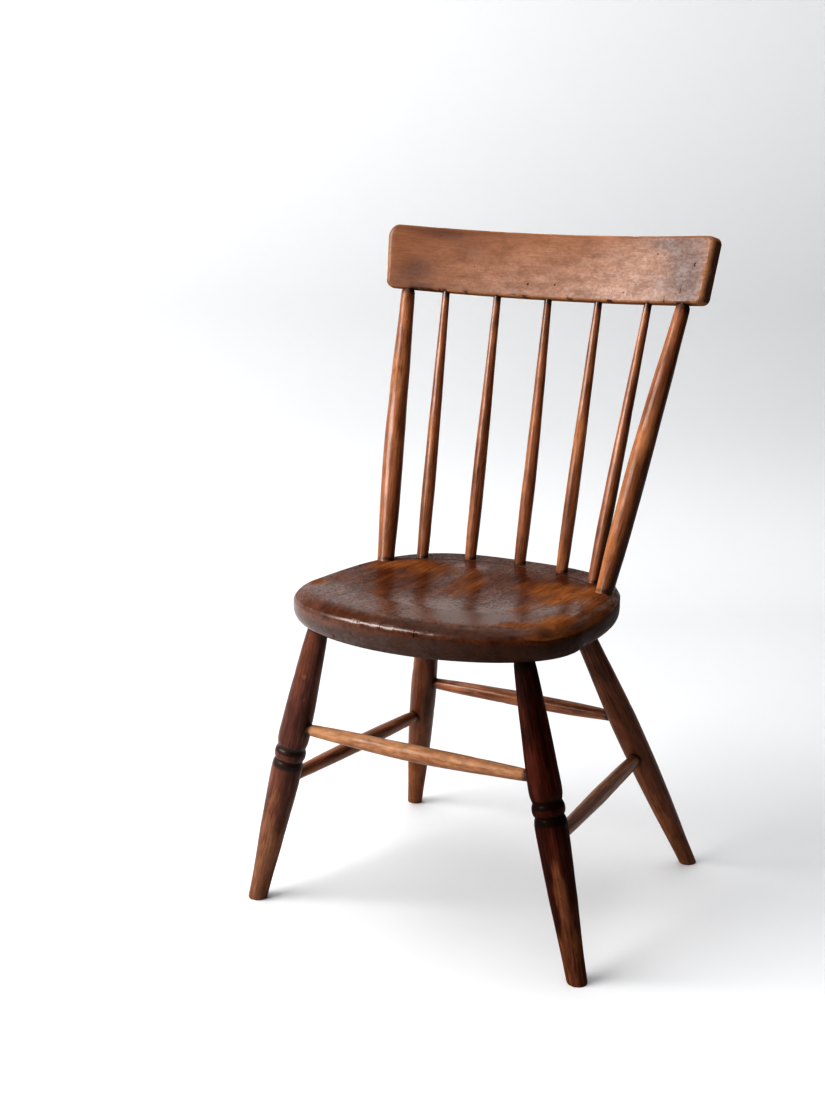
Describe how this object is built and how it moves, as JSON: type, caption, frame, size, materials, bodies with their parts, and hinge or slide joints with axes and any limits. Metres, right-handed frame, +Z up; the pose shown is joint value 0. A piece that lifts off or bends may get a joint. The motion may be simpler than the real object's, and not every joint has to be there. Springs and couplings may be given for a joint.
{
  "type": "spindle back chair",
  "caption": "Wooden chair with a shallow saddled seat, splayed turned legs joined by stretchers, and a raked back of slender spindles between two posts under a curved rail.",
  "frame": {"origin": "on the floor, under the middle of the chair's bounding box", "axes": "+Z up, the chair faces -Y, +X is to the right for someone looking at its front"},
  "size_m": [0.5016, 0.4724, 0.8815],
  "materials": {
    "seat_wood": "dark brown varnish, worn to orange brown at the back and right",
    "rail_wood": "worn red-brown varnish, satin",
    "stick_wood": "mid brown varnish, satin",
    "leg_wood": "dark mahogany stain, satin, worn lighter at the feet",
    "worn_stretcher_wood": "stain worn through to lighter golden wood",
    "stretcher_wood": "dark brown stain, satin"
  },
  "bodies": {
    "root": {"seat": "seat_wood", "crest_rail": "rail_wood", "left_post": "stick_wood", "right_post": "stick_wood", "spindle_1": "stick_wood", "spindle_2": "stick_wood", "spindle_3": "stick_wood", "spindle_4": "stick_wood", "spindle_5": "stick_wood", "front_left_leg": "leg_wood", "front_right_leg": "leg_wood", "rear_left_leg": "leg_wood", "rear_right_leg": "leg_wood", "front_stretcher": "worn_stretcher_wood", "rear_stretcher": "stretcher_wood", "left_side_stretcher": "stretcher_wood", "right_side_stretcher": "stretcher_wood"}
  },
  "joints": []
}
